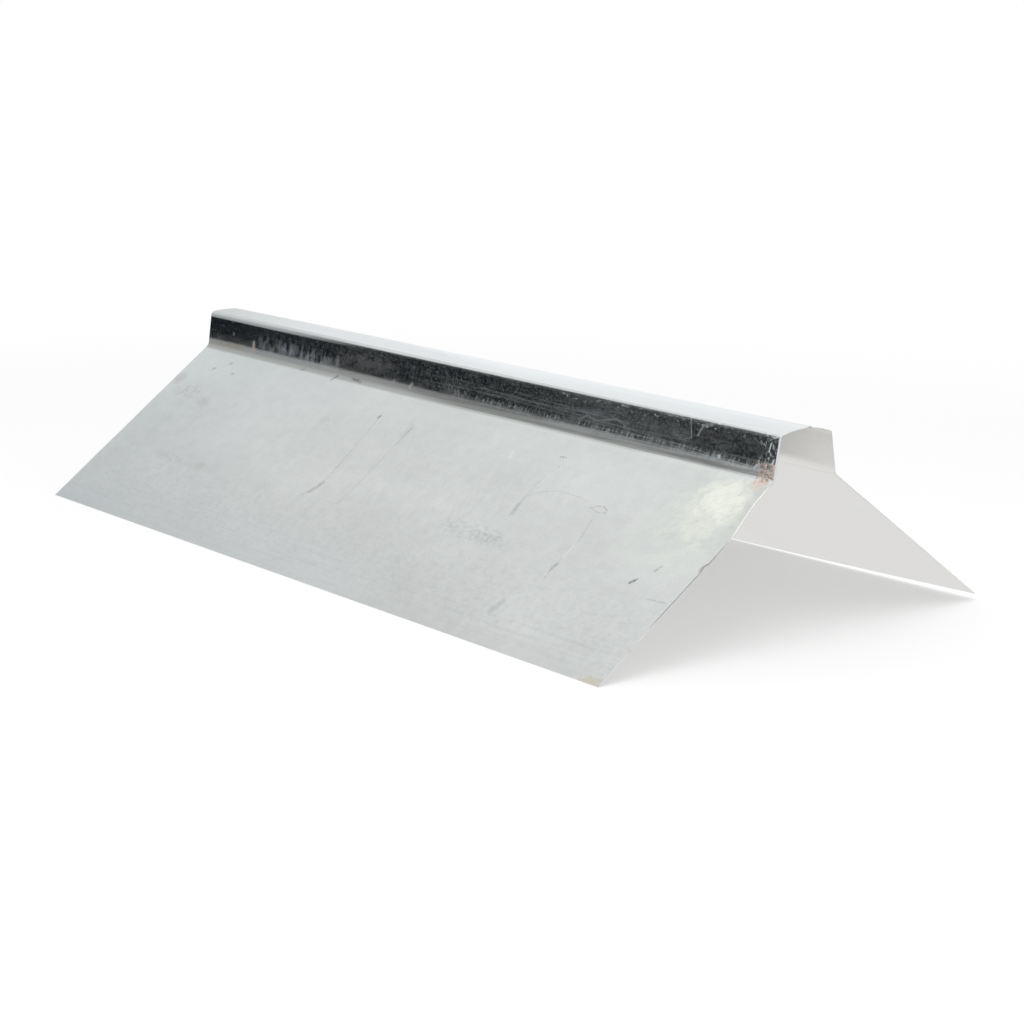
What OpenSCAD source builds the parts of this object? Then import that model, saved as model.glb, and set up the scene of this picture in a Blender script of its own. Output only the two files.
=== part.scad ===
// A ridge cap folded from one sheet: two sloping flanges, two webs and a raised top.
// The top narrows along its length, so that one cap slips under the next.
// X runs along the ridge with the wide end at +X, and Z is up.

/* [Sheet] */
// thickness of the coated sheet
sheet_t = 0.6; // [0.4:0.1:1.2]
// width of the flat blank, edge to edge
blank_w = 610; // [500:1:800]
// length of the cap along the ridge
cap_l = 914; // [300:1:1500]

/* [Raised top] */
// width of the top between its folds at the wide end
top_wide = 60; // [50:1:90]
// width of the top between its folds at the narrow end
top_narrow = 36; // [30:1:48]
// radius on the inside of the folds along the top
top_fold_r = 2; // [1:0.5:4]
// how far the middle of the top stands above its folds at the wide end
crown_wide = 4.6; // [0.6:0.1:8]
// how far the middle of the top stands above its folds at the narrow end
crown_narrow = 0.8; // [0.4:0.1:4]

/* [Webs and flanges] */
// depth of a web between its folds
web_h = 38; // [25:1:60]
// how far a web leans out from upright
web_lean = 9; // [0:0.5:20]
// how far a flange falls below level
flange_slope = 36.5; // [20:0.5:45]
// radius on the inside of the softer folds between webs and flanges
low_fold_r = 7; // [2:0.5:12]

/* [Colours] */
// zinc coating of the sheet
sheet_colour = "#C8CCCB"; // color

/* [Hidden] */

// lengths are measured along the middle of the sheet's thickness
half_t = sheet_t / 2;
top_r = top_fold_r + half_t;
low_r = low_fold_r + half_t;
web_turn = 90 - web_lean;
low_turn = web_turn - flange_slope;
low_fold = low_r * tan(low_turn / 2);
down_web = [sin(web_lean), -cos(web_lean)];
off_web = [cos(web_lean), sin(web_lean)];
down_flange = [cos(flange_slope), -sin(flange_slope)];

// steps in half of the top's curve, in a fold and along the cap
crown_steps = 9;
fold_steps = 7;
long_steps = 8;

function between(a, b, u) = a + (b - a) * u;

function arc_length(radius, angle) = radius * angle * PI / 180;

// a point of the section is [y, z, angle of the outward normal from upright]
function on_arc(centre, radius, angle) =
    [centre.x + radius * sin(angle), centre.y + radius * cos(angle), angle];

// half a section, from the middle of the top out to the free edge of a flange
function half_line(width, crown) =
    let (
        crown_r = width * width / (8 * crown) + crown / 2,
        corner = [width / 2, crown_r - crown],
        start = corner - top_r * off_web,
        along = start * down_web,
        top_fold = -along - sqrt(along * along - start * start + pow(crown_r - top_r, 2)),
        top_centre = start + top_fold * down_web,
        crown_turn = atan2(top_centre.x, top_centre.y),
        web_end = corner + (web_h - low_fold) * down_web,
        low_centre = web_end + low_r * off_web,
        used = arc_length(crown_r, crown_turn) + arc_length(top_r, web_turn - crown_turn)
            + web_h - low_fold - top_fold + arc_length(low_r, low_turn),
        flange = on_arc(low_centre, -low_r, flange_slope),
        edge = [flange.x, flange.y] + (blank_w / 2 - used) * down_flange
    )
    concat(
        [for (i = [0 : crown_steps]) on_arc([0, 0], crown_r, crown_turn * i / crown_steps)],
        [for (i = [1 : fold_steps])
            on_arc(top_centre, top_r, between(crown_turn, web_turn, i / fold_steps))],
        [for (i = [0 : fold_steps])
            on_arc(low_centre, -low_r, between(web_turn, flange_slope, i / fold_steps))],
        [[edge.x, edge.y, flange_slope]]
    );

// the half section set down so that the flange's lower corner is at Z = 0
function seated(line) =
    let (floor_z = line[len(line) - 1].y - half_t * cos(flange_slope))
    [for (p = line) [p.x, p.y - floor_z, p.z]];

function mirrored(line) = [for (i = [len(line) - 1 : -1 : 1]) [-line[i].x, line[i].y, -line[i].z]];

function face_line(line, offset) = [for (p = line) [p.x + offset * sin(p.z), p.y + offset * cos(p.z)]];

function reversed(list) = [for (i = [len(list) - 1 : -1 : 0]) list[i]];

// closed outline of the sheet at one station, over the outside and back along the underside
function outline(u) =
    let (
        half = seated(half_line(between(top_wide, top_narrow, u), between(crown_wide, crown_narrow, u))),
        line = concat(mirrored(half), half)
    )
    concat(face_line(line, half_t), reversed(face_line(line, -half_t)));

function station(u) = [for (p = outline(u)) [cap_l * (0.5 - u), p.x, p.y]];

ring = len(outline(0));
last = ring * long_steps;

// two triangles for the four corners of a cell
function cell(a, b, c, d) = [[a, b, c], [a, c, d]];

module ridge_cap() {
    points = [for (i = [0 : long_steps]) each station(i / long_steps)];
    skin = [for (i = [0 : long_steps - 1], j = [0 : ring - 1])
        let (k = (j + 1) % ring)
        each cell(i * ring + j, i * ring + k, (i + 1) * ring + k, (i + 1) * ring + j)];
    ends = [for (j = [0 : ring / 2 - 2])
        let (k = ring - 1 - j)
        each concat(cell(j, k, k - 1, j + 1), cell(last + j, last + j + 1, last + k - 1, last + k))];
    color(sheet_colour) polyhedron(points, concat(skin, ends), convexity = 6);
}

ridge_cap();
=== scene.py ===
import math
import random

import bmesh
import bpy
import numpy as np
from mathutils import Matrix, Vector, noise


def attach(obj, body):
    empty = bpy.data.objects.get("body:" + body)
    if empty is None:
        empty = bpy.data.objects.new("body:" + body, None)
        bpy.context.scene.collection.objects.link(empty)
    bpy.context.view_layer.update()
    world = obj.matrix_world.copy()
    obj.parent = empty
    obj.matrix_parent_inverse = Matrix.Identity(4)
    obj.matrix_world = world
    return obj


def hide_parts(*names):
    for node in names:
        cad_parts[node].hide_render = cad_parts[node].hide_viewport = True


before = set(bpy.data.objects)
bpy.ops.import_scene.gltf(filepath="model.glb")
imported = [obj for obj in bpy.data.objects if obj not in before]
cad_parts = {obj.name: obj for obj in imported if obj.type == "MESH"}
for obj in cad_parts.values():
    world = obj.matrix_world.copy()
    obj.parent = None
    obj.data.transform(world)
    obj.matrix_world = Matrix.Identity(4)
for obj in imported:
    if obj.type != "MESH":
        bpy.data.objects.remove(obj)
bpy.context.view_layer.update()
print("frame loaded")

# the folded sheet, in millimetres and degrees; wide is the end at +X, narrow the end at -X,
# near is the flange at -Y and far the one at +Y
sheet = {
    "length": 914, "blankWidth": 610, "thickness": 0.6,
    "topWide": 60, "topNarrow": 36, "crownWide": 4.6, "crownNarrow": 0.8,
    "webDepth": 38, "webLean": 9,
    "topFoldWide": 1.2, "topFoldNarrow": 4.5, "lowFoldWide": 7, "lowFoldNarrow": 9,
    # the handled sheet is a little out of true: the ridge is rolled from one end to the other
    "farLeanWide": 3.2, "bendWide": 141.3, "bendNarrow": 152.0,
    "rollWide": 1.78, "rollNarrow": -1.56,
    # dent in the near flange at the wide end; rise and fall are shares of the way up the flange
    "dish": 5.8, "dishReach": 150, "dishRise": (0.08, 0.74), "dishFall": (0.70, 0.92),
    # the far flange's corner is sprung up at the wide end: how far out and up, and where along X it starts
    "springOut": 2.4, "springUp": 6.0, "springFrom": -20, "springCurve": 1.8,
    # slow waves left by the rollers: how high, and (length, width, place in the noise, weight) of each;
    # stiff is what is left of them at the folds and the free edges
    "buckle": 0.35, "waves": [(210, 95, 3.1, 1.0), (60, 40, 8.4, 0.35)], "waveRise": 5, "stiff": 0.12,
    # how finely the sheet is divided along X, close to its cut ends, and across each band
    "stationStep": 4.2, "endStep": 0.9, "endSteps": 5,
    "steps": {"crown": 9, "topFold": 6, "web": 12, "lowFold": 9, "flange": 44},
    # the search for the slope of a flange begins here, in radians, and settles in this many rounds
    "firstSlope": 0.64, "slopeRounds": 4,
    # added to distances from the low fold, so that their UV map stays positive
    "foldOrigin": 300,
}


def linear(hexColour):
    parts = [int(hexColour[i:i + 2], 16) / 255 for i in (1, 3, 5)]
    return tuple(p / 12.92 if p <= 0.04045 else ((p + 0.055) / 1.055) ** 2.4 for p in parts) + (1.0,)


def mixed(first, second, share):
    return first + (second - first) * share


def smoothStep(value, low, high):
    share = np.clip((value - low) / (high - low), 0, 1)
    return share * share * (3 - 2 * share)


def halfLine(side, share):
    # one half of the section at a station, from the middle of the top out to the free edge of a flange
    width = mixed(sheet["topWide"], sheet["topNarrow"], share)
    crown = mixed(sheet["crownWide"], sheet["crownNarrow"], share)
    bendHeight = mixed(sheet["bendWide"], sheet["bendNarrow"], share)
    roll = side * math.radians(mixed(sheet["rollWide"], sheet["rollNarrow"], share))
    lean = math.radians(sheet["webLean"])
    if side > 0:
        lean += math.radians(mixed(sheet["farLeanWide"], 0, share))
    skin = sheet["thickness"] / 2
    topRadius = mixed(sheet["topFoldWide"], sheet["topFoldNarrow"], share) + skin
    lowRadius = mixed(sheet["lowFoldWide"], sheet["lowFoldNarrow"], share) + skin
    crownRadius = width * width / (8 * crown) + crown / 2
    offWeb = np.array([math.cos(lean), math.sin(lean)])
    downWeb = np.array([math.sin(lean), -math.cos(lean)])
    corner = np.array([width / 2, crownRadius - crown])
    start = corner - topRadius * offWeb
    along = start @ downWeb
    topCut = -along - math.sqrt(along ** 2 - start @ start + (crownRadius - topRadius) ** 2)
    topCentre = start + topCut * downWeb
    crownTurn = math.atan2(topCentre[0], topCentre[1])
    webTurn = math.pi / 2 - lean
    # the ridge stands on two stiff flanges: each lies where its length reaches the floor
    rise = bendHeight + sheet["webDepth"] * math.cos(math.radians(sheet["webLean"])) - corner[1]
    middle = bendHeight + sheet["webDepth"] / 2
    lowCorner = corner + sheet["webDepth"] * downWeb + np.array([0, rise - middle])
    lowHeight = middle - lowCorner[0] * math.sin(roll) + lowCorner[1] * math.cos(roll)
    slope = sheet["firstSlope"]
    for _ in range(sheet["slopeRounds"]):
        lowTurn = webTurn + roll - slope
        spare = lowRadius * math.tan(lowTurn / 2)
        beforeLow = crownRadius * crownTurn + topRadius * (webTurn - crownTurn)
        beforeLow = beforeLow + sheet["webDepth"] - spare - topCut
        flangeRun = sheet["blankWidth"] / 2 - beforeLow - lowRadius * lowTurn
        slope = math.asin((lowHeight - skin * math.cos(slope)) / (flangeRun + spare))
    lowTurn = webTurn + roll - slope
    downFlange = np.array([math.cos(slope - roll), -math.sin(slope - roll)])
    steps = sheet["steps"]
    places, travel, angles = [], [], []

    def bend(centre, radius, fromAngle, toAngle, count, first=1):
        begun = travel[-1] if travel else 0
        for i in range(first, count + 1):
            angle = mixed(fromAngle, toAngle, i / count)
            places.append(centre + radius * np.array([math.sin(angle), math.cos(angle)]))
            travel.append(begun + abs(radius * (angle - fromAngle)))
            angles.append(angle)

    def run(direction, distance, count):
        begun, origin, angle = travel[-1], places[-1], angles[-1]
        for i in range(1, count + 1):
            places.append(origin + direction * distance * i / count)
            travel.append(begun + distance * i / count)
            angles.append(angle)

    bend(np.zeros(2), crownRadius, 0, crownTurn, steps["crown"], 0)
    bend(topCentre, topRadius, crownTurn, webTurn, steps["topFold"])
    run(downWeb, sheet["webDepth"] - spare - topCut, steps["web"])
    bend(places[-1] + lowRadius * offWeb, -lowRadius, webTurn, webTurn - lowTurn, steps["lowFold"])
    foldTravel = travel[-1]
    run(downFlange, sheet["blankWidth"] / 2 - foldTravel, steps["flange"])
    y, z = np.array(places).T
    z = z + rise - middle
    turnedY = y * math.cos(roll) + z * math.sin(roll)
    turnedZ = middle - y * math.sin(roll) + z * math.cos(roll)
    return np.stack([turnedY, turnedZ], 1), np.array(travel), np.array(angles) + roll, foldTravel


def dent(upFlange, x):
    # the near flange is pushed in at the wide end; 0 at its free edge, 1 at the fold
    low, high = sheet["dishRise"]
    depth = np.clip((upFlange - low) / (high - low), 0, 1) * (1 - smoothStep(upFlange, *sheet["dishFall"]))
    fromEnd = sheet["length"] / 2 - x
    return sheet["dish"] * depth * math.exp(-((fromEnd / sheet["dishReach"]) ** 2))


def stationLine(x):
    # the whole section at one station, with the dent, the slow waves and the sprung corner in it
    share = 0.5 - x / sheet["length"]
    near, nearTravel, nearAngle, nearFold = halfLine(-1, share)
    far, farTravel, farAngle, farFold = halfLine(1, share)
    y = np.concatenate([-near[::-1, 0], far[1:, 0]])
    z = np.concatenate([near[::-1, 1], far[1:, 1]])
    angle = np.concatenate([-nearAngle[::-1], farAngle[1:]])
    signed = np.concatenate([-nearTravel[::-1], farTravel[1:]])
    fold = np.where(signed < 0, nearFold, farFold)
    half = sheet["blankWidth"] / 2
    upFlange = np.clip((half - np.abs(signed)) / (half - fold), 0, 1)
    inward = np.where(signed < 0, dent(upFlange, x), 0)
    waves = np.zeros(len(signed))
    for length, width, place, weight in sheet["waves"]:
        waves += [weight * noise.noise(Vector((x / length, s / width, place))) for s in signed]
    free = np.clip(upFlange * (1 - upFlange) * sheet["waveRise"], 0, 1) + sheet["stiff"]
    shift = sheet["buckle"] * waves * free - inward
    start = sheet["springFrom"]
    sprung = max(0, (x - start) / (sheet["length"] / 2 - start)) ** sheet["springCurve"]
    sprung = np.where(signed > 0, sprung * (1 - upFlange), 0)
    y = y + shift * np.sin(angle) + sheet["springOut"] * sprung
    z = z + shift * np.cos(angle) + sheet["springUp"] * sprung
    return y, z, angle, signed, fold


def stations():
    half = sheet["length"] / 2
    near = [half - sheet["endStep"] * i for i in range(sheet["endSteps"])]
    inner = near[-1] - sheet["endStep"]
    count = round(2 * inner / sheet["stationStep"])
    middle = [inner - 2 * inner * i / count for i in range(count + 1)]
    return sorted(near + middle + [-x for x in near])


# small damage at the cut ends, 1 the wide and -1 the narrow one: travel over the sheet from the ridge,
# size along X and across, push along X and outward, in millimetres
nicks = [
    {"end": 1, "travel": 2.5, "size": (3.0, 2.8), "push": (0, 1.7)},
    {"end": 1, "travel": -168, "size": (1.4, 3.2), "push": (-1.3, 0)},
    {"end": 1, "travel": -64, "size": (5, 9), "push": (0, -0.7)},
    {"end": -1, "travel": 31, "size": (2.0, 3.0), "push": (0.9, 0.3)},
]


def buildSheet():
    xs = stations()
    skin, halfLength, halfWidth = (sheet[name] / 2 for name in ("thickness", "length", "blankWidth"))
    outer, inner, flatPlace, foldPlace = [], [], [], []
    for x in xs:
        y, z, angle, signed, fold = stationLine(x)
        alongX = np.full(len(y), float(x))
        for nick in nicks:
            fromEnd = (x - nick["end"] * halfLength) / nick["size"][0]
            fromMiddle = (signed - nick["travel"]) / nick["size"][1]
            near = np.exp(-(fromEnd ** 2) - fromMiddle ** 2)
            alongX += nick["push"][0] * near
            y = y + nick["push"][1] * near * np.sin(angle)
            z = z + nick["push"][1] * near * np.cos(angle)
        outer.append(np.stack([alongX, y + skin * np.sin(angle), z + skin * np.cos(angle)], 1))
        inner.append(np.stack([alongX, y - skin * np.sin(angle), z - skin * np.cos(angle)], 1))
        flatPlace.append(np.stack([alongX + halfLength, signed + halfWidth], 1))
        foldPlace.append(np.stack([alongX + halfLength, fold - np.abs(signed) + sheet["foldOrigin"]], 1))
    rows, columns = len(xs), len(outer[0])
    count = rows * columns
    points = np.concatenate(outer + inner) / 1000
    flatPlace = np.concatenate(flatPlace * 2) / 1000
    foldPlace = np.concatenate(foldPlace * 2) / 1000
    i, j = np.meshgrid(np.arange(rows - 1), np.arange(columns - 1), indexing="ij")
    a = (i * columns + j).ravel()
    b = a + columns
    upper = np.stack([a, b, b + 1, a + 1], 1)
    lower = np.stack([a, a + 1, b + 1, b], 1) + count
    row, column = np.arange(rows - 1) * columns, np.arange(columns - 1)
    nearEdge = np.stack([row, row + count, row + columns + count, row + columns], 1)
    farRow = row + columns - 1
    farEdge = np.stack([farRow, farRow + columns, farRow + columns + count, farRow + count], 1)
    narrowEnd = np.stack([column, column + 1, column + 1 + count, column + count], 1)
    wideRow = column + (rows - 1) * columns
    wideEnd = np.stack([wideRow, wideRow + count, wideRow + 1 + count, wideRow + 1], 1)
    cut = np.concatenate([nearEdge, farEdge, narrowEnd, wideEnd])
    faces = np.concatenate([upper, lower, cut])

    mesh = bpy.data.meshes.new("foldedSheet")
    mesh.from_pydata(points.tolist(), [], faces.tolist())
    corners = np.empty(len(mesh.loops), dtype=np.int32)
    mesh.loops.foreach_get("vertex_index", corners)
    for name, place in (("flatSheet", flatPlace), ("fromFold", foldPlace)):
        layer = mesh.uv_layers.new(name=name)
        layer.uv.foreach_set("vector", place[corners].astype(np.float32).ravel())
    # slots 0 to 3 are the outside: near flange, near web, top, far web and flange
    undersideSlot, cutSlot = 4, 5
    counts = sheet["steps"]
    flangeEnd = counts["flange"]
    webEnd = flangeEnd + counts["lowFold"] + counts["web"] + counts["topFold"]
    band = np.select([column < flangeEnd, column < webEnd, column < columns - 1 - webEnd], [0, 1, 2], 3)
    slots = [np.tile(band, rows - 1), np.full(len(lower), undersideSlot), np.full(len(cut), cutSlot)]
    mesh.polygons.foreach_set("material_index", np.concatenate(slots).astype(np.int32))
    mesh.polygons.foreach_set("use_smooth", np.ones(len(faces), dtype=bool))
    shape = bmesh.new()
    shape.from_mesh(mesh)
    for edge in shape.edges:
        kinds = {face.material_index for face in edge.link_faces}
        if cutSlot in kinds and len(kinds) > 1:
            edge.smooth = False
    shape.to_mesh(mesh)
    shape.free()
    piece = bpy.data.objects.new("foldedSheet", mesh)
    bpy.context.scene.collection.objects.link(piece)
    print("sheet built:", len(faces) * 2, "triangles")
    return piece


def addNode(tree, kind, inputs=None, out=0, **settings):
    made = tree.nodes.new("ShaderNode" + kind)
    for name, value in settings.items():
        setattr(made, name, value)
    for name, value in (inputs or {}).items():
        if isinstance(value, bpy.types.NodeSocket):
            tree.links.new(value, made.inputs[name])
        else:
            made.inputs[name].default_value = value
    return made.outputs[out] if made.outputs else made


def newMaterial(name):
    material = bpy.data.materials.new(name)
    material.use_nodes = True
    material.node_tree.nodes.clear()
    return material, material.node_tree


# Map Range as a smooth step: inputs 0 to 4 are the value, where it starts and ends, and the results there
smooth = {"interpolation_type": "SMOOTHSTEP", "clamp": False}
# Mix between two colours: input 0 is the share, 6 and 7 are the colours
colourMix = {"out": 2, "data_type": "RGBA"}
# strokes and spots: the solid share of a stroke's half width and of a spot, the grain of a spot's edge as a
# share of its size, and the noise that tears strokes, its grain in millimetres, coarser than the real one
marking = {"strokeCore": 0.2, "spotCore": 0.45, "spotGrain": 0.45, "tornGrain": (2.6, 2.6), "tornShift": 4.0,
           "torn": (0.36, 0.58)}


def strokeGroup():
    # how far a place lies inside a stroke from start to end, 0 to 1
    tree = bpy.data.node_groups.new("scratchStroke", "ShaderNodeTree")
    for name, kind in (("place", "Vector"), ("start", "Vector"), ("along", "Vector"), ("perLength", "Float"),
                       ("core", "Float"), ("rim", "Float")):
        tree.interface.new_socket(name=name, in_out="INPUT", socket_type="NodeSocket" + kind)
    tree.interface.new_socket(name="mask", in_out="OUTPUT", socket_type="NodeSocketFloat")
    given = tree.nodes.new("NodeGroupInput").outputs
    toPlace = addNode(tree, "VectorMath", {0: given["place"], 1: given["start"]}, operation="SUBTRACT")
    reach = addNode(tree, "VectorMath", {0: toPlace, 1: given["along"]}, out="Value", operation="DOT_PRODUCT")
    reach = addNode(tree, "Math", {0: reach, 1: given["perLength"]}, operation="MULTIPLY")
    # plain limits: a node's own clamp is worked out late and fills the shader's memory
    reach = addNode(tree, "Math", {0: reach, 1: 0.0}, operation="MAXIMUM")
    reach = addNode(tree, "Math", {0: reach, 1: 1.0}, operation="MINIMUM")
    foot = addNode(tree, "VectorMath", {0: given["along"], "Scale": reach}, operation="SCALE")
    gap = addNode(tree, "VectorMath", {0: toPlace, 1: foot}, out="Value", operation="DISTANCE")
    mask = addNode(tree, "MapRange", {0: gap, 1: given["core"], 2: given["rim"], 3: 1.0, 4: 0.0}, **smooth)
    result = tree.nodes.new("NodeGroupOutput")
    tree.links.new(mask, result.inputs["mask"])
    return tree


scratchStroke = strokeGroup()


def strokes(tree, place, marks):
    # marks are (points, width, strength); the result is the strongest stroke at each place
    total = None
    for points, width, strength in marks:
        for start, end in zip(points, points[1:]):
            along = (end[0] - start[0], end[1] - start[1], 0)
            mask = addNode(tree, "Group", {
                "place": place, "start": (*start, 0), "along": along,
                "perLength": 1 / (along[0] ** 2 + along[1] ** 2),
                "core": width * marking["strokeCore"], "rim": width,
            }, node_tree=scratchStroke)
            mask = addNode(tree, "Math", {0: mask, 1: strength}, operation="MULTIPLY")
            total = mask if total is None else addNode(tree, "Math", {0: total, 1: mask}, operation="MAXIMUM")
    return total


def zone(tree, value, low, high, soft, softHigh=None):
    # 1 between low and high, fading over soft below and above each of them; the high one may be softer
    softHigh = softHigh or soft
    rise = addNode(tree, "MapRange", {0: value, 1: low - soft, 2: low + soft}, **smooth)
    falling = {0: value, 1: high - softHigh, 2: high + softHigh, 3: 1.0, 4: 0.0}
    fall = addNode(tree, "MapRange", falling, **smooth)
    return addNode(tree, "Math", {0: rise, 1: fall}, operation="MULTIPLY")


def grain(tree, place, size, turn=0, detail=2.0, shift=0.0):
    # noise with its grain in millimetres along the sheet and across it; turn leans it over, in degrees
    scaled = addNode(tree, "Mapping", {"Vector": place, "Location": (shift * size[0], shift * size[1], 0),
                                       "Rotation": (0, 0, math.radians(turn)), "Scale": (*size, 1)},
                     vector_type="TEXTURE")
    return addNode(tree, "TexNoise", {"Vector": scaled, "Scale": 1.0, "Detail": detail, "Roughness": 0.55},
                   noise_dimensions="2D")


def spotMask(tree, place, centre, half, ragged):
    # a ragged spot, half is its half size in millimetres
    offset = (-centre[0] / half[0], -centre[1] / half[1], 0)
    away = addNode(tree, "VectorMath", {0: place, 1: (1 / half[0], 1 / half[1], 0), 2: offset},
                   operation="MULTIPLY_ADD")
    away = addNode(tree, "VectorMath", {0: away}, out="Value", operation="LENGTH")
    size = min(half) * marking["spotGrain"]
    torn = grain(tree, place, (size, size), 0, 4.0, centre[0])
    away = addNode(tree, "Math", {0: torn, 1: 2 * ragged, 2: away}, operation="MULTIPLY_ADD")
    fading = {0: away, 1: marking["spotCore"] + ragged, 2: 1.0 + ragged, 3: 1.0, 4: 0.0}
    return addNode(tree, "MapRange", fading, **smooth)


def layerMask(tree, flat, fold, layer):
    # x and edge are zones from the narrow end and from the near free edge, up is a zone from the low fold
    parts = []
    for name, source, axis in (("x", flat, "X"), ("edge", flat, "Y"), ("up", fold, "Y")):
        if name in layer:
            along = addNode(tree, "SeparateXYZ", {0: source}, out=axis)
            parts.append(zone(tree, along, *layer[name]))
    if "grain" in layer:
        size, low, high = layer["grain"]
        turn, detail, shift = layer.get("turn", 0), layer.get("detail", 3.0), layer.get("shift", 0.0)
        cloud = grain(tree, flat, size, turn, detail, shift)
        parts.append(addNode(tree, "MapRange", {0: cloud, 1: low, 2: high}, **smooth))
    place = fold if layer.get("byFold") else flat
    if "spot" in layer:
        parts.append(spotMask(tree, place, *layer["spot"]))
    if "marks" in layer:
        parts.append(strokes(tree, place, layer["marks"]))
        low, high = marking["torn"]
        torn = grain(tree, flat, marking["tornGrain"], 0, 3.0, marking["tornShift"])
        parts.append(addNode(tree, "MapRange", {0: torn, 1: low, 2: high, 3: 1 - layer["torn"]}, **smooth))
    mask = parts[0]
    for part in parts[1:] + [layer["strength"]]:
        mask = addNode(tree, "Math", {0: mask, 1: part}, operation="MULTIPLY")
    return mask


# hot-dip zinc on cold-rolled steel, flattened by skin-pass rolls: an even satin silver grey with fine
# rolling lines, a faint cloudiness and almost no spangle, mirror-dark where it faces something dark
zinc = {
    "deep": "#C2C5C4", "pale": "#DFE2E0", "roughness": 0.34, "webRoughness": 0.10,
    "grazing": "#E8E9EB",  # zinc mirrors a little less at a low angle than the shader's own curve
    # grain along the sheet and across it in millimetres, detail, weight: clouds, mottling, the finest grain,
    # rolling lines, cross lines; everything near 2 mm is coarser than the real grain, so that it shows
    "patterns": [((150, 80), 2.0, 0.5), ((16, 12), 3.0, 0.42), ((2.6, 2.1), 2.0, 0.34),
                 ((190, 2.2), 3.0, 0.14), ((2.0, 50), 2.0, 0.12)],
    "finest": 2, "grainHeight": 0.00003, "grainBump": 0.5, "grainRough": 0.05,
    "webSpan": (10, 38, 3),  # the burnished web, from the low fold up
}
# what folding, handling and stacking did to the outside; rough and metal are what the zinc turns to
foldScuff = [
    {"x": (-90, 760, 30), "up": (-0.8, 10.4, 1.6, 2.8), "strength": 0.9, "colour": "#B4B7B4",
     "rough": 0.62, "metal": 0.8},
    {"x": (760, 1000, 30), "up": (4.2, 11.0, 1.0, 3.4), "strength": 0.8, "colour": "#B4B7B4",
     "rough": 0.62, "metal": 0.9},
]
# a thin bloom and fine dust over the webs; the dust is coarser than the real one, so that it shows
webDust = [
    {"x": (620, 1090, 110), "up": (11.5, 42, 3.5), "strength": 0.015, "colour": "#9DB0CC", "metal": 0.0},
    {"x": (90, 1090, 60), "up": (11.5, 42, 3.5), "grain": ((4.5, 3.4), 0.46, 0.64), "shift": 3.0,
     "strength": 0.035, "colour": "#9DB0CC", "metal": 0.0},
    {"up": (11, 42, 3.5), "grain": ((2.6, 3.0), 0.5, 0.72), "shift": 17.0, "strength": 0.065,
     "colour": "#9DB0CC", "metal": 0.0},
    {"x": (300, 1000, 60), "up": (10, 42, 4), "grain": ((26, 9), 0.35, 0.75), "shift": 2.0,
     "strength": 0.03, "colour": "#9DB0CC", "metal": 0.0},
    {"up": (10, 14.5, 2.5), "grain": ((2.8, 3.6), 0.46, 0.62), "strength": 0.07, "colour": "#B4B8BC",
     "metal": 0.0},
]

# painted dark reflection: the fold is darker towards the wide end, with a crisp lower edge; scuffs and
# scratches on it too
nearFoldScuffAndReflection = [
    {"x": (-90, 400, 60), "up": (3.5, 11.6, 2, 2.8), "strength": 0.5, "colour": "#CFD1D0", "rough": 0.6,
     "metal": 0.8},
    {"x": (370, 620, 50), "up": (7, 9.5, 1.4), "strength": 0.35, "colour": "#7F8182"},
    {"x": (440, 870, 60, 30), "up": (1.6, 6.0, 0.8, 2.8), "strength": 0.5, "colour": "#868985"},
    {"x": (520, 930, 70), "up": (-3, 1.8, 0.8), "strength": 0.3, "colour": "#CFD2D0", "metal": 0.0},
    {"x": (430, 930, 60), "up": (2, 12, 1), "grain": ((160, 1.5), 0.46, 0.62), "strength": 0.4,
     "colour": "#6C6F6E"},
    {"x": (450, 900, 50), "up": (3.5, 11, 1.2), "grain": ((120, 1.2), 0.52, 0.64), "shift": 5.0,
     "strength": 0.16, "colour": "#BCC3C8", "metal": 0.0},
    {"marks": [
        ([(261.9, -3.8), (264, -0.5), (267, 3)], 2.6, 0.6), ([(199.7, -0.4), (205, 2.1)], 2.2, 0.4),
        ([(294, 4.2), (299, 3.4), (306, 3.0), (311, 2.4)], 2.1, 0.7), ([(301, 3), (306, 5)], 1.8, 0.5),
    ], "byFold": True, "torn": 0.7, "strength": 0.9, "colour": "#3A3D3D", "metal": 0.9},
]
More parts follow.
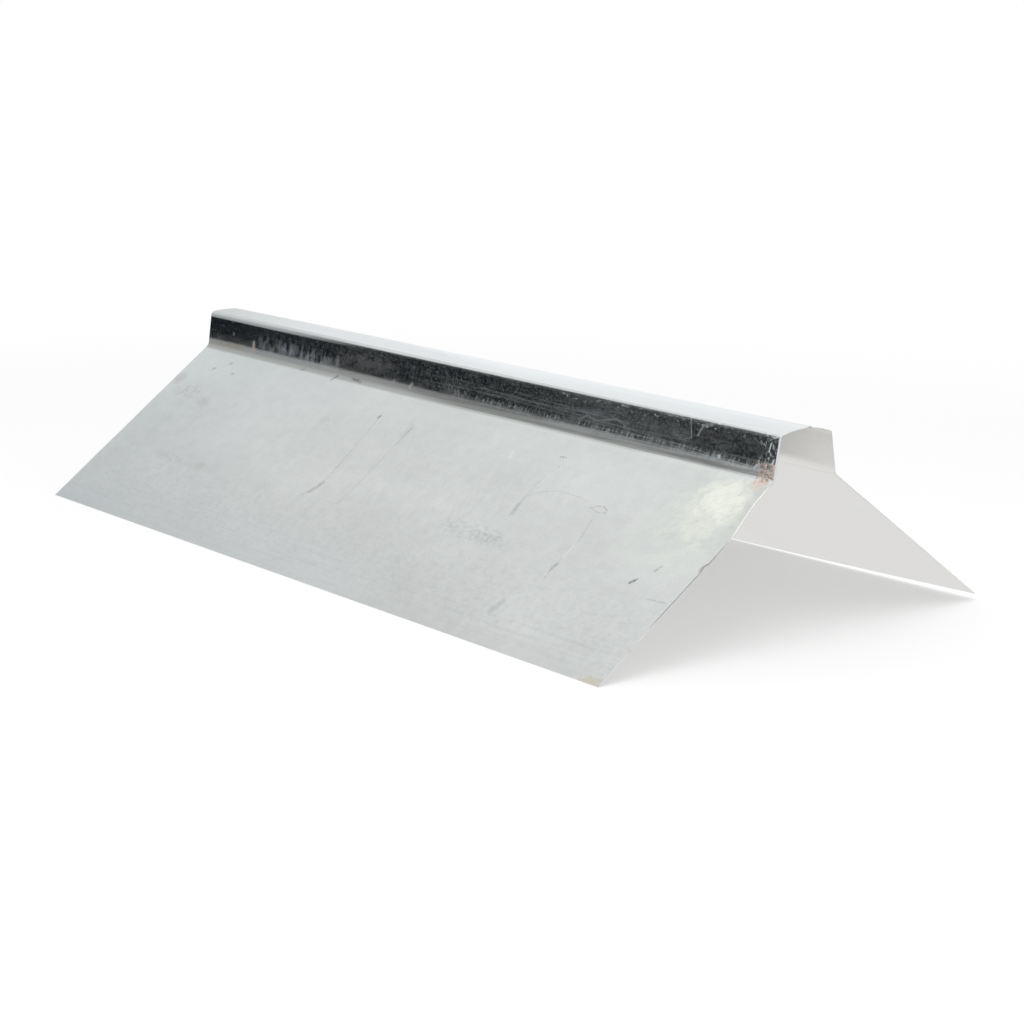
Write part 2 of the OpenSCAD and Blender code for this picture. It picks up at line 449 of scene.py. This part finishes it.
nearWebWear = [
    # thin grey film low on the web towards the narrow end
    {"x": (-60, 260, 60), "up": (9, 19, 4), "grain": ((14, 9), 0.3, 0.65), "strength": 0.06,
     "colour": "#AEB6BE", "metal": 0.0},
    # the sheet is scuffed dull along the top fold near the narrow end
    {"x": (-90, 230, 110), "up": (36.2, 60, 1.2), "strength": 0.9, "colour": "#C6CACB", "rough": 0.6,
     "metal": 0.6},
    # smears of dried water down the web near the narrow end, bluish against the dark
    {"x": (104, 240, 14, 20), "up": (9, 25, 6), "grain": ((8, 17), 0.44, 0.66), "detail": 1.5,
     "strength": 0.16, "colour": "#769CE8", "metal": 0.0},
    {"x": (120, 240, 12, 20), "up": (8, 20, 4), "grain": ((5, 11), 0.5, 0.68), "detail": 1.5,
     "shift": 9.0, "strength": 0.16, "colour": "#C3CCDA", "metal": 0.0},
    {"spot": ((244, 14), (15, 8), 0.8), "byFold": True, "strength": 0.13, "colour": "#C3C9D2",
     "metal": 0.0},
    {"x": (266, 356, 22), "up": (12, 34, 6), "grain": ((20, 10), 0.3, 0.6), "strength": 0.055,
     "colour": "#C69468", "metal": 0.0},
    {"x": (640, 806, 30, 4), "up": (6, 44, 5), "grain": ((24, 11), 0.3, 0.75), "shift": 2.0,
     "strength": 0.05, "colour": "#9DB0CC", "metal": 0.0},
    {"x": (470, 830, 30), "up": (20, 27, 3), "grain": ((60, 3), 0.35, 0.7), "strength": 0.04,
     "colour": "#94AEDC", "metal": 0.0},
    # lines dragged along the web by the stack
    {"x": (430, 1000, 60), "up": (10, 30, 4), "grain": ((200, 2.0), 0.46, 0.7), "strength": 0.06,
     "colour": "#A9BAD0", "metal": 0.0},
    # short slanted strokes beside the fold
    {"x": (470, 900, 30), "up": (8, 15.5, 2.6), "grain": ((2.3, 13), 0.5, 0.58), "detail": 1.0,
     "turn": -24, "strength": 0.17, "colour": "#C9CDD0", "metal": 0.0},
    {"x": (455, 490, 6), "up": (11, 22, 3), "grain": ((2.4, 10), 0.48, 0.6), "strength": 0.09,
     "colour": "#C9CDD0", "metal": 0.0},
    # chips along the top fold and dust at the cut end
    {"x": (600, 930, 60), "up": (33.5, 42, 2), "grain": ((6, 3), 0.58, 0.72), "shift": 7.0,
     "strength": 0.3, "colour": "#C9D3DC", "metal": 0.0},
    {"x": (893, 930, 9), "up": (12, 46, 5), "grain": ((3.0, 4.0), 0.54, 0.7), "strength": 0.4,
     "colour": "#D5DEE4", "metal": 0.0},
    {"x": (14, 72, 8), "up": (6, 12, 2.5), "grain": ((12, 5), 0.35, 0.6), "strength": 0.35,
     "colour": "#B9A38C", "rough": 0.6, "metal": 0.8},
    {"spot": ((96, 13), (4, 8), 0.5), "byFold": True, "strength": 0.5, "colour": "#C4B09E", "rough": 0.6,
     "metal": 0.4},
    {"spot": ((262, 16), (5, 10), 0.8), "byFold": True, "strength": 0.16, "colour": "#C4BDB8",
     "metal": 0.0},
    {"spot": ((846, 12.7), (2.8, 2.8), 0.3), "byFold": True, "strength": 0.5, "colour": "#BCD2DE",
     "metal": 0.0},
    {"marks": [
        ([(508, 25), (688, 20), (913, 9.6)], 0.8, 0.12),
        ([(520, 20.5), (700, 16.5), (860, 10)], 0.8, 0.1), ([(560, 28), (745, 22)], 0.8, 0.1),
        ([(658.6, 16.2), (670, 22), (683, 19), (699, 22), (711, 25), (724, 20)], 1.0, 0.2),
        ([(805, 39.8), (809, 23)], 1.0, 0.3), ([(809, 23), (799, 20), (787, 23)], 0.9, 0.12),
        ([(817, 27), (821, 35), (826, 37)], 2.0, 0.25), ([(821, 35), (833, 38)], 2.4, 0.18),
        ([(836, 42), (841, 40)], 1.8, 0.5), ([(804, 42), (808, 41)], 1.6, 0.4),
        ([(884, 46), (889, 45)], 1.8, 0.3), ([(903, 26), (904, 33)], 1.3, 0.6),
        ([(906, 38), (911, 40)], 1.4, 0.5), ([(889, 10), (892, 13)], 1.6, 0.6),
        ([(898, 40), (901, 43)], 2.0, 0.5), ([(908, 16), (910, 20)], 1.4, 0.5),
        ([(52, 21), (53, 23)], 2.2, 0.22), ([(395, 9), (398, 13)], 3.4, 0.3),
        ([(366, 11), (368, 13)], 2.4, 0.2),
    ], "byFold": True, "torn": 0.4, "strength": 1.0, "colour": "#DDE3E8", "rough": 0.6, "metal": 0.3},
    # the bright cut shows as a line down the end
    {"x": (912.3, 930, 0.5), "up": (3, 46, 2), "strength": 0.85, "colour": "#DDE3EA", "rough": 0.5,
     "metal": 0.1},
]

# rust creeping in from the cut at the wide end, over the low fold: salmon where thin, nearly black in the pits
foldRust = [
    {"spot": ((903, 6), (12, 16), 0.9), "byFold": True, "grain": ((2.6, 7.0), 0.38, 0.56), "shift": 2.0,
     "strength": 0.7, "colour": "#C9A997", "rough": 0.7, "metal": 0.35},
    {"spot": ((900, -6), (10, 9), 0.9), "byFold": True, "strength": 0.25, "colour": "#D8BAA9",
     "rough": 0.5, "metal": 0.7},
    {"spot": ((903, 8), (13, 11), 0.6), "byFold": True, "grain": ((5.0, 2.0), 0.5, 0.62), "shift": 5.0,
     "strength": 0.65, "colour": "#584B42", "rough": 0.7, "metal": 0.4},
]

nearFlangeWearAndPaintedLight = [
    # painted shade: darker towards the narrow end; rubbed paler along the free edge; painted light: paler high
    # on the flange, near the fold
    {"x": (-80, 160, 260), "strength": 0.16, "colour": "#A9B8C8"},
    {"x": (-90, 560, 120), "edge": (-60, 40, 40), "strength": 0.35, "colour": "#DCE1E4"},
    {"edge": (190, 330, 35), "strength": 0.17, "colour": "#E6EBEC"},
    {"edge": (3, 46, 22), "grain": ((110, 3.4), 0.44, 0.76), "strength": 0.11, "colour": "#979C9E"},
    {"edge": (8, 90, 30), "grain": ((7, 5), 0.42, 0.75), "shift": 11.0, "strength": 0.12,
     "colour": "#989D9E"},
    # drag marks fanning down the middle, pale and dark
    {"x": (560, 720, 70), "edge": (60, 190, 50), "grain": ((5, 26), 0.45, 0.8), "turn": 12,
     "strength": 0.1, "colour": "#EEF1EF", "rough": 0.45},
    {"x": (400, 700, 70), "edge": (70, 190, 50), "grain": ((6, 18), 0.48, 0.8), "turn": 10, "shift": 6.0,
     "strength": 0.1, "colour": "#8C979B"},
    # painted reflection: a pale yellow-green highlight above the dent, streaked grey-green, where the dished
    # metal mirrors a bright light
    {"spot": ((864, 182), (66, 78), 0.8), "grain": ((34, 14), 0.25, 0.6), "turn": 30, "strength": 0.2,
     "colour": "#E6EBDD"},
    {"spot": ((874, 196), (44, 50), 0.8), "grain": ((16, 9), 0.2, 0.6), "turn": 30, "strength": 0.36,
     "colour": "#EFF3E4"},
    {"spot": ((879, 209), (31, 27), 0.8), "strength": 0.5, "colour": "#F8FAEE"},
    {"x": (830, 930, 20), "edge": (150, 226, 14), "grain": ((6, 2.2), 0.4, 0.75), "turn": 34,
     "strength": 0.17, "colour": "#B3BAAE"},
    # darker along the wide end, high on the flange
    {"x": (904, 930, 5), "edge": (170, 260, 20), "strength": 0.15, "colour": "#A9ADA6"},
    # smudges of dirt, a tan stain at the free corner of the wide end and a brownish nick in the cut
    {"spot": ((638, 107), (56, 14), 0.9), "grain": ((9, 4), 0.42, 0.64), "strength": 0.2,
     "colour": "#8D999F"},
    {"spot": ((665, 105), (26, 10), 0.9), "grain": ((5, 6), 0.35, 0.62), "strength": 0.25,
     "colour": "#8D999F"},
    {"spot": ((11, 195), (12, 11), 0.8), "strength": 0.2, "colour": "#A08F80"},
    {"spot": ((48, 180), (30, 12), 0.9), "grain": ((6, 5), 0.4, 0.6), "strength": 0.22,
     "colour": "#A19486"},
    {"spot": ((92, 171), (13, 9), 0.8), "strength": 0.2, "colour": "#9B948A"},
    {"spot": ((311, 187), (10, 8), 0.8), "strength": 0.16, "colour": "#A0998C"},
    {"spot": ((190, 89), (15, 8), 0.9), "strength": 0.14, "colour": "#A39A8D"},
    {"spot": ((132, 90), (44, 8), 0.9), "grain": ((9, 4), 0.35, 0.65), "strength": 0.18,
     "colour": "#9C978D"},
    {"spot": ((905, 1), (20, 9), 0.7), "strength": 0.42, "colour": "#C4B594", "rough": 0.5, "metal": 0.8},
    {"spot": ((913, 138), (5, 6), 0.7), "strength": 0.6, "colour": "#7D705C", "rough": 0.6, "metal": 0.5},
    # the burr of the cut: it catches the light high up and is in shade below
    {"x": (913.1, 930, 0.4), "edge": (176, 230, 8), "strength": 0.8, "colour": "#FFFDF4", "rough": 0.6,
     "metal": 0.2},
    {"x": (912.8, 930, 0.5), "edge": (70, 166, 12), "strength": 0.55, "colour": "#43474A", "rough": 0.5},
    # scratches down the fall of the flange, from sheets dragged over it
    {"marks": [
        ([(385.5, 213), (391, 163), (395, 123), (391.5, 105)], 1.3, 0.22),
        ([(389, 100), (380.6, 91.3)], 1.8, 0.34),
        ([(443, 209), (446, 192), (444.5, 168), (444.7, 136), (441, 94.5)], 1.2, 0.22),
        ([(438, 212), (441, 196)], 2.4, 0.18), ([(673, 201), (665.4, 172.5), (667.5, 141)], 1.2, 0.18),
        ([(663.5, 157), (678, 167.6), (693.6, 173.7), (713, 174.4), (732, 172.8), (743, 170.5)], 0.9, 0.2),
        ([(665, 211), (673, 212)], 1.6, 0.5),
        ([(747.7, 165.7), (754.7, 170.2), (762, 170.4), (767.7, 168.0), (767.9, 164.3)], 1.2, 0.36),
        ([(748, 166.5), (756, 163.6), (762.8, 163.8), (768, 164.5)], 1.1, 0.28),
        ([(761, 153.7), (767, 128.5), (765, 99), (766, 82.7)], 1.3, 0.2),
        ([(857.6, 106.6), (860.4, 111)], 1.5, 0.6), ([(869, 122), (871.5, 129.3)], 1.8, 0.36),
        ([(887, 93.3), (908.5, 94.4)], 1.4, 0.24),
    ], "torn": 0.93, "strength": 0.9, "colour": "#343A3C", "rough": 0.5, "metal": 0.8},
    {"marks": [
        ([(395.2, 112), (391.5, 104), (388.8, 99.5)], 4.6, 0.34), ([(446, 202), (443, 190)], 4.4, 0.18),
        ([(666, 148), (668.5, 138)], 4.6, 0.22), ([(766, 100), (764.5, 93)], 2.8, 0.32),
        ([(855.6, 104), (857.6, 106.6)], 2.7, 0.85), ([(742.2, 35), (744.4, 47)], 5.2, 0.2),
        ([(52.3, 218), (54.2, 219.2)], 3.0, 0.42), ([(72.8, 230.4), (74.7, 231.5)], 2.8, 0.42),
        ([(92.5, 217), (94.5, 217.6)], 2.8, 0.4), ([(384.6, 206.4), (385.6, 208)], 2.6, 0.6),
    ], "torn": 0.45, "strength": 0.9, "colour": "#40474A", "rough": 0.5, "metal": 0.8},
    {"marks": [
        ([(766, 109), (766.4, 123.4)], 1.8, 0.55), ([(672, 196), (668, 176)], 1.4, 0.25),
        ([(602, 205), (606, 196)], 2.4, 0.3), ([(640, 118), (654, 110)], 2.4, 0.35),
    ], "torn": 0.6, "strength": 0.8, "colour": "#F6F8F7", "rough": 0.6, "metal": 0.6},
]

topPaintedLightAndLines = [
    # painted light: the top is paler than the zinc from near the narrow end on, palest along the middle of its
    # length; then darker rolling lines
    {"x": (60, 1500, 170), "strength": 0.75, "colour": "#F0F2F3"},
    {"x": (130, 560, 80, 120), "strength": 0.2, "colour": "#F8FAFC"},
    {"grain": ((160, 3.0), 0.45, 0.75), "strength": 0.1, "colour": "#AAB2B6"},
]


# the far flange isn't seen in the photograph: it gets marks of the same kind and number, each drawn within
# these limits, in millimetres
farMark = {
    "seed": 11, "count": 15, "x": (40, 880), "edge": (392, 590), "length": (10, 95), "drift": (-8, 8),
    "bow": (-2, 2), "width": (1.0, 1.8), "strength": (0.25, 0.6),
    "middleDrift": 0.6, "middleEdge": 604, "lastEdge": 608,
}


def farMarks():
    draw = random.Random(farMark["seed"])
    drawn = ("x", "edge", "length", "drift", "bow", "width", "strength")
    marks = []
    for _ in range(farMark["count"]):
        x, edge, length, drift, bow, width, strength = [draw.uniform(*farMark[name]) for name in drawn]
        middle = (x + drift * farMark["middleDrift"] + bow, min(edge + length / 2, farMark["middleEdge"]))
        last = (x + drift, min(edge + length, farMark["lastEdge"]))
        marks.append(([(x, edge), middle, last], width, strength))
    return marks


farWearAndShade = [
    {"edge": (590, 700, 90), "strength": 0.3, "colour": "#A9ABAC"},
    # painted shade: darker towards the narrow end, as on the near flange
    {"x": (-80, 60, 170), "strength": 0.35, "colour": "#AAB2B7"},
    {"up": (6, 44, 5), "grain": ((36, 12), 0.4, 0.75), "shift": 8.0, "strength": 0.15,
     "colour": "#A9B4C4", "rough": 0.45, "metal": 0.85},
    {"up": (10, 30, 4), "grain": ((200, 1.2), 0.46, 0.72), "shift": 5.0, "strength": 0.17, "rough": 0.5,
     "metal": 0.8},
    {"edge": (562, 607, 22), "grain": ((120, 2.4), 0.44, 0.74), "strength": 0.2, "colour": "#979C9E"},
    {"edge": (480, 602, 30), "grain": ((7, 5), 0.42, 0.75), "shift": 14.0, "strength": 0.16,
     "colour": "#989D9E"},
    {"spot": ((250, 470), (30, 12), 0.9), "grain": ((6, 5), 0.4, 0.6), "strength": 0.25,
     "colour": "#A19486"},
    {"spot": ((706, 520), (28, 11), 0.8), "grain": ((3, 3), 0.35, 0.6), "strength": 0.42,
     "colour": "#8D9AA4"},
    {"marks": farMarks(), "torn": 0.8, "strength": 0.7, "colour": "#343A3C", "rough": 0.5, "metal": 0.8},
]


def sheetPlace(tree, name, lift=0):
    # a place on the sheet in millimetres
    return addNode(tree, "Mapping", {"Vector": addNode(tree, "UVMap", uv_map=name), "Location": (0, -lift, 0),
                                     "Scale": (1000, 1000, 0)})


def zincFinish(name, layers):
    material, tree = newMaterial(name)
    flat = sheetPlace(tree, "flatSheet")
    fold = sheetPlace(tree, "fromFold", sheet["foldOrigin"])
    # the patterns swing about the middle between the two colours
    tone = 0.5 - sum(weight for *rest, weight in zinc["patterns"]) / 2
    grains = []
    for size, detail, weight in zinc["patterns"]:
        grains.append(grain(tree, flat, size, 0, detail))
        tone = addNode(tree, "Math", {0: grains[-1], 1: weight, 2: tone}, operation="MULTIPLY_ADD")
    colour = addNode(tree, "Mix", {0: tone, 6: linear(zinc["deep"]), 7: linear(zinc["pale"])}, **colourMix)
    # the folding rolls burnish the webs
    up = addNode(tree, "SeparateXYZ", {0: fold}, out="Y")
    burnished = zone(tree, up, *zinc["webSpan"])
    roughness = addNode(tree, "Mix", {0: burnished, 2: zinc["roughness"], 3: zinc["webRoughness"]})
    finest = grains[zinc["finest"]]
    roughness = addNode(tree, "Math", {0: finest, 1: zinc["grainRough"], 2: roughness},
                        operation="MULTIPLY_ADD")
    metal = 1.0
    for layer in layers:
        mask = layerMask(tree, flat, fold, layer)
        if "colour" in layer:
            colour = addNode(tree, "Mix", {0: mask, 6: colour, 7: linear(layer["colour"])}, **colourMix)
        if "rough" in layer:
            roughness = addNode(tree, "Mix", {0: mask, 2: roughness, 3: layer["rough"]})
        if "metal" in layer:
            metal = addNode(tree, "Mix", {0: mask, 2: metal, 3: layer["metal"]})
    normal = addNode(tree, "Bump", {"Height": finest, "Strength": zinc["grainBump"],
                                    "Distance": zinc["grainHeight"]})
    shader = addNode(tree, "BsdfPrincipled", {"Base Color": colour, "Metallic": metal, "Roughness": roughness,
                                              "Specular Tint": linear(zinc["grazing"]), "Normal": normal})
    addNode(tree, "OutputMaterial", {"Surface": shader})
    return material


# the side that lies inward in the coil: the same zinc, cleaner and smoother, so an even pale sheen
underside = {
    "deep": "#D2D1CF", "pale": "#DFDEDB", "roughness": 0.22, "leastTone": 0.05,
    "cloud": (160, 90), "cloudTone": 0.6, "cloudRough": 0.08, "lines": (260, 2.2), "lineTone": 0.3,
    # painted shade: the inside of the webs and top is darker, except close to the wide end; painted highlight:
    # the low fold is lighter
    "layers": [
        {"x": (-100, 868, 46), "up": (10, 60, 4), "strength": 0.45, "colour": "#8E8F90"},
        {"up": (3, 9, 2.5), "strength": 0.35, "colour": "#F1F0ED"},
    ],
}


def undersideFinish():
    material, tree = newMaterial("cleanZincUnderside")
    flat = sheetPlace(tree, "flatSheet")
    fold = sheetPlace(tree, "fromFold", sheet["foldOrigin"])
    cloud = grain(tree, flat, underside["cloud"])
    lines = grain(tree, flat, underside["lines"])
    tone = underside["leastTone"]
    for pattern, weight in ((cloud, underside["cloudTone"]), (lines, underside["lineTone"])):
        tone = addNode(tree, "Math", {0: pattern, 1: weight, 2: tone}, operation="MULTIPLY_ADD")
    colours = {6: linear(underside["deep"]), 7: linear(underside["pale"])}
    colour = addNode(tree, "Mix", {0: tone, **colours}, **colourMix)
    roughness = addNode(tree, "Math", {0: cloud, 1: underside["cloudRough"], 2: underside["roughness"]},
                        operation="MULTIPLY_ADD")
    for layer in underside["layers"]:
        mask = layerMask(tree, flat, fold, layer)
        colour = addNode(tree, "Mix", {0: mask, 6: colour, 7: linear(layer["colour"])}, **colourMix)
    shader = addNode(tree, "BsdfPrincipled", {"Base Color": colour, "Metallic": 1.0, "Roughness": roughness})
    addNode(tree, "OutputMaterial", {"Surface": shader})
    return material


# sheared steel between two skins of zinc: bright where the blade passed, with specks of rust starting
cutEdge = {
    "deep": "#D9DBDA", "pale": "#F4F4F1", "metal": 0.5, "roughness": 0.45,
    "finePerMetre": 400.0,  # 2.5 mm, coarser than the real shear marks
    "rust": "#9A7355", "rustPerMetre": 45.0, "rustFrom": 0.62, "rustTo": 0.72, "rustMost": 0.7,
}


def cutEdgeFinish():
    material, tree = newMaterial("shearedSteelEdge")
    where = addNode(tree, "TexCoord", out="Object")
    fine = addNode(tree, "TexNoise", {"Vector": where, "Scale": cutEdge["finePerMetre"], "Detail": 2.0})
    specks = addNode(tree, "TexNoise", {"Vector": where, "Scale": cutEdge["rustPerMetre"], "Detail": 3.0})
    colours = {6: linear(cutEdge["deep"]), 7: linear(cutEdge["pale"])}
    colour = addNode(tree, "Mix", {0: fine, **colours}, **colourMix)
    rusty = addNode(tree, "MapRange", {0: specks, 1: cutEdge["rustFrom"], 2: cutEdge["rustTo"],
                                       4: cutEdge["rustMost"]})
    colour = addNode(tree, "Mix", {0: rusty, 6: colour, 7: linear(cutEdge["rust"])}, **colourMix)
    shader = addNode(tree, "BsdfPrincipled", {"Base Color": colour, "Metallic": cutEdge["metal"],
                                              "Roughness": cutEdge["roughness"]})
    addNode(tree, "OutputMaterial", {"Surface": shader})
    return material


piece = buildSheet()
for finish in (
    zincFinish("zincNearFlange", nearFlangeWearAndPaintedLight + foldScuff + nearFoldScuffAndReflection + foldRust),
    zincFinish("zincNearWeb", foldScuff + nearFoldScuffAndReflection + webDust + nearWebWear + foldRust),
    zincFinish("zincTop", topPaintedLightAndLines),
    zincFinish("zincFarSide", foldScuff + webDust + farWearAndShade),
    undersideFinish(),
    cutEdgeFinish(),
):
    piece.data.materials.append(finish)
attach(piece, "root")
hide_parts("ridge_cap")
print("zinc finishes made")


stage = {
    "white": "#FFFFFF", "skyLevel": 0.85,
    # the floor to the camera: paper that glows a little, and plain white from one distance to the next
    "floorHalf": 12.0, "floorColour": "#F4F4F4", "floorGlow": 0.4, "whiteFrom": 0.8, "whiteTo": 1.8,
    # the dark cloths: how far off and how high, the height of their soft top at X = 0 and its slope
    "clothY": 0.42, "clothHeight": 0.8, "clothTop": 0.36, "clothSlope": -0.1, "clothSoft": 0.06,
    "clothBottom": -1, "clothColour": "#1D2125", "nearCloth": (-2.0, 0.25), "farCloth": (0.35, 2.0),
    "clothFade": 0.25,
    "lamps": {
        "overheadSoftbox": {"place": (0.7, -0.9, 2.4), "size": (1.8, 1.8), "power": 26, "aim": (0, 0, 0.1)},
        "backSoftbox": {"place": (-0.83, 1.47, 0.56), "size": (1.5, 0.7), "power": 0.95, "aim": (0, 0, 0.18)},
    },
}


def plane(name, corners):
    mesh = bpy.data.meshes.new(name)
    mesh.from_pydata(corners, [], [(0, 1, 2, 3)])
    made = bpy.data.objects.new(name, mesh)
    bpy.context.scene.collection.objects.link(made)
    return made


def areaLamp(name, place, size, power, aim):
    lamp = bpy.data.lights.new(name, "AREA")
    lamp.shape = "RECTANGLE"
    lamp.size, lamp.size_y = size
    lamp.energy = power
    made = bpy.data.objects.new(name, lamp)
    made.location = place
    made.rotation_euler = (Vector(aim) - made.location).to_track_quat("-Z", "Y").to_euler()
    bpy.context.scene.collection.objects.link(made)


def makeStage():
    white = linear(stage["white"])
    half = stage["floorHalf"]
    floor = plane("paleFloor", [(-half, -half, 0), (half, -half, 0), (half, half, 0), (-half, half, 0)])
    material, tree = newMaterial("paleFloorPaper")
    # the metal mirrors a plain white floor; the camera sees paper with the object's shadow on it
    path = tree.nodes.new("ShaderNodeLightPath").outputs
    mirrored = addNode(tree, "Math", {0: path["Is Glossy Ray"], 1: path["Is Transmission Ray"]},
                       operation="MAXIMUM")
    where = addNode(tree, "TexCoord", out="Object")
    away = addNode(tree, "VectorMath", {0: where}, out="Value", operation="LENGTH")
    fading = {0: away, 1: stage["whiteFrom"], 2: stage["whiteTo"], 3: stage["floorGlow"]}
    glow = addNode(tree, "MapRange", fading, **smooth)
    glow = addNode(tree, "Math", {0: glow, 1: path["Is Camera Ray"]}, operation="MULTIPLY")
    glow = addNode(tree, "Math", {0: mirrored, 1: glow}, operation="MAXIMUM")
    paper = addNode(tree, "BsdfDiffuse", {"Color": linear(stage["floorColour"])})
    plain = addNode(tree, "Emission", {"Color": white, "Strength": 1.0})
    addNode(tree, "OutputMaterial", {"Surface": addNode(tree, "MixShader", {0: glow, 1: paper, 2: plain})})
    floor.data.materials.append(material)

    # a dark cloth with a soft top stands off each long side; only the metal sees it
    for side, name in ((-1, "nearCloth"), (1, "farCloth")):
        left, right = stage[name]
        material, tree = newMaterial(name + "Dark")
        where = addNode(tree, "TexCoord", out="Object")
        level = addNode(tree, "VectorMath", {0: where, 1: (stage["clothSlope"] * side, 0, 1)}, out="Value",
                        operation="DOT_PRODUCT")
        share = zone(tree, level, stage["clothBottom"], stage["clothTop"], stage["clothSoft"] / 2)
        along = addNode(tree, "SeparateXYZ", {0: where}, out="X")
        inside = zone(tree, along, left, right, stage["clothFade"] / 2)
        share = addNode(tree, "Math", {0: share, 1: inside}, operation="MULTIPLY")
        colour = addNode(tree, "Mix", {0: share, 6: white, 7: linear(stage["clothColour"])}, **colourMix)
        seen = addNode(tree, "Emission", {"Color": colour, "Strength": 1.0})
        addNode(tree, "OutputMaterial", {"Surface": seen})
        y, top = stage["clothY"] * side, stage["clothHeight"]
        left, right = left - stage["clothFade"], right + stage["clothFade"]
        cloth = plane(name, [(left, y, 0), (right, y, 0), (right, y, top), (left, y, top)])
        cloth.data.materials.append(material)
        cloth.visible_camera = cloth.visible_diffuse = cloth.visible_shadow = False
        cloth.visible_transmission = cloth.visible_volume_scatter = False

    world = bpy.data.worlds.new("softStudio")
    bpy.context.scene.world = world
    world.use_nodes = True
    tree = world.node_tree
    tree.nodes.clear()
    path = tree.nodes.new("ShaderNodeLightPath").outputs
    seen = addNode(tree, "Math", {0: path["Is Glossy Ray"], 1: path["Is Transmission Ray"]},
                   operation="MAXIMUM")
    seen = addNode(tree, "Math", {0: seen, 1: path["Is Camera Ray"]}, operation="MAXIMUM")
    # surfaces are lit by a slightly dimmer sky than the camera and the reflections see
    soft = addNode(tree, "Background", {"Color": white, "Strength": stage["skyLevel"]})
    plain = addNode(tree, "Background", {"Color": white, "Strength": 1.0})
    addNode(tree, "OutputWorld", {"Surface": addNode(tree, "MixShader", {0: seen, 1: soft, 2: plain})})

    for name, lamp in stage["lamps"].items():
        areaLamp(name, **lamp)
    print("stage made")


view = {
    # fitted to the photograph's corners: degrees, metres, and pixels of a 1024 pixel image
    "azimuth": 50.953, "elevation": 12.284, "roll": 0.563, "distance": 2.1487,
    "target": (0.06858, 0.0, 0.04412), "focalPixels": 2190.7, "imagePixels": 1024, "sensor": 36,
}


def makeCamera():
    azimuth, elevation, roll = (math.radians(view[key]) for key in ("azimuth", "elevation", "roll"))
    back = Vector((math.sin(azimuth) * math.cos(elevation), -math.cos(azimuth) * math.cos(elevation),
                   math.sin(elevation)))
    right = Vector((math.cos(azimuth), math.sin(azimuth), 0))
    up = back.cross(right)
    turnedRight = right * math.cos(roll) + up * math.sin(roll)
    turnedUp = up * math.cos(roll) - right * math.sin(roll)
    lens = bpy.data.cameras.new("photoView")
    lens.sensor_width = view["sensor"]
    lens.lens = view["focalPixels"] / view["imagePixels"] * view["sensor"]
    camera = bpy.data.objects.new("photoView", lens)
    turn = Matrix((turnedRight, turnedUp, back)).transposed().to_4x4()
    camera.matrix_world = Matrix.Translation(Vector(view["target"]) + back * view["distance"]) @ turn
    bpy.context.scene.collection.objects.link(camera)
    bpy.context.scene.camera = camera


makeStage()
makeCamera()
bpy.context.scene.view_settings.view_transform = "Standard"
print("camera set")

bpy.context.view_layer.update()
